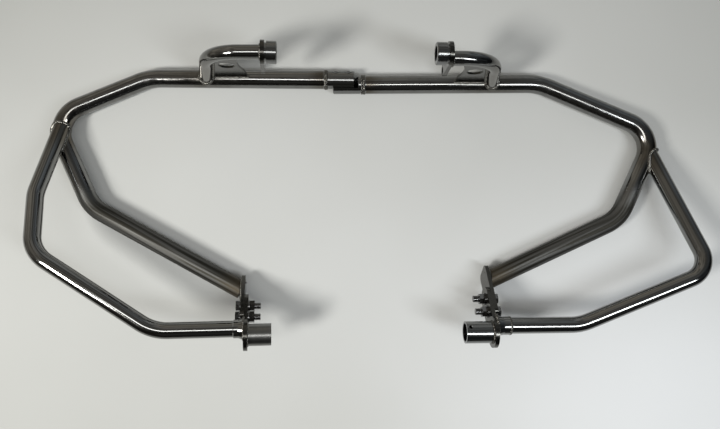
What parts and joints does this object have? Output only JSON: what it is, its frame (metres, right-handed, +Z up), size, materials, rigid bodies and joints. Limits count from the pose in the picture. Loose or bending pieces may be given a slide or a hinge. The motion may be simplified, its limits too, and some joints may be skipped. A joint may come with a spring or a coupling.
{
  "type": "motorcycle crash bars",
  "caption": "Pair of bent steel tube engine guards, joined at a bolted lap joint, with upper mount arms, outer loops and rear mounting brackets.",
  "frame": {"origin": "middle of the bounding box on the ground that the bars lie on", "axes": "+X to the right half, +Y from the rear brackets to the cross tube, +Z up as the bars lie on the ground"},
  "size_m": [0.8837, 0.3838, 0.1399],
  "materials": {
    "polished_steel": "polished stainless tube with fine scratches",
    "turned_steel": "turned and machined stainless steel",
    "plate_steel": "flat stainless plate, ground and lightly polished",
    "dark_steel": "dark zinc-plated fasteners"
  },
  "bodies": {
    "root": {"left_main_tube": "polished_steel", "right_main_tube": "polished_steel", "left_loop_tube": "polished_steel", "right_loop_tube": "polished_steel", "left_lap_tongue": "turned_steel", "right_lap_tongue": "turned_steel", "lap_screws": "dark_steel", "left_mount_arm": "polished_steel", "right_mount_arm": "polished_steel", "left_gusset_plate": "plate_steel", "right_gusset_plate": "plate_steel", "left_boss_flange": "plate_steel", "right_boss_flange": "plate_steel", "left_boss_ring": "turned_steel", "right_boss_ring": "turned_steel", "left_leg_plate": "plate_steel", "right_leg_plate": "plate_steel", "left_loop_plate": "plate_steel", "right_loop_plate": "plate_steel", "left_end_collar": "polished_steel", "right_end_collar": "polished_steel", "left_spacer_sleeve": "turned_steel", "right_spacer_sleeve": "turned_steel", "left_bracket_bolts": "dark_steel", "right_bracket_bolts": "dark_steel", "left_bracket_nuts": "dark_steel", "right_bracket_nuts": "dark_steel", "left_bracket_washers": "dark_steel", "right_bracket_washers": "dark_steel"}
  },
  "joints": []
}
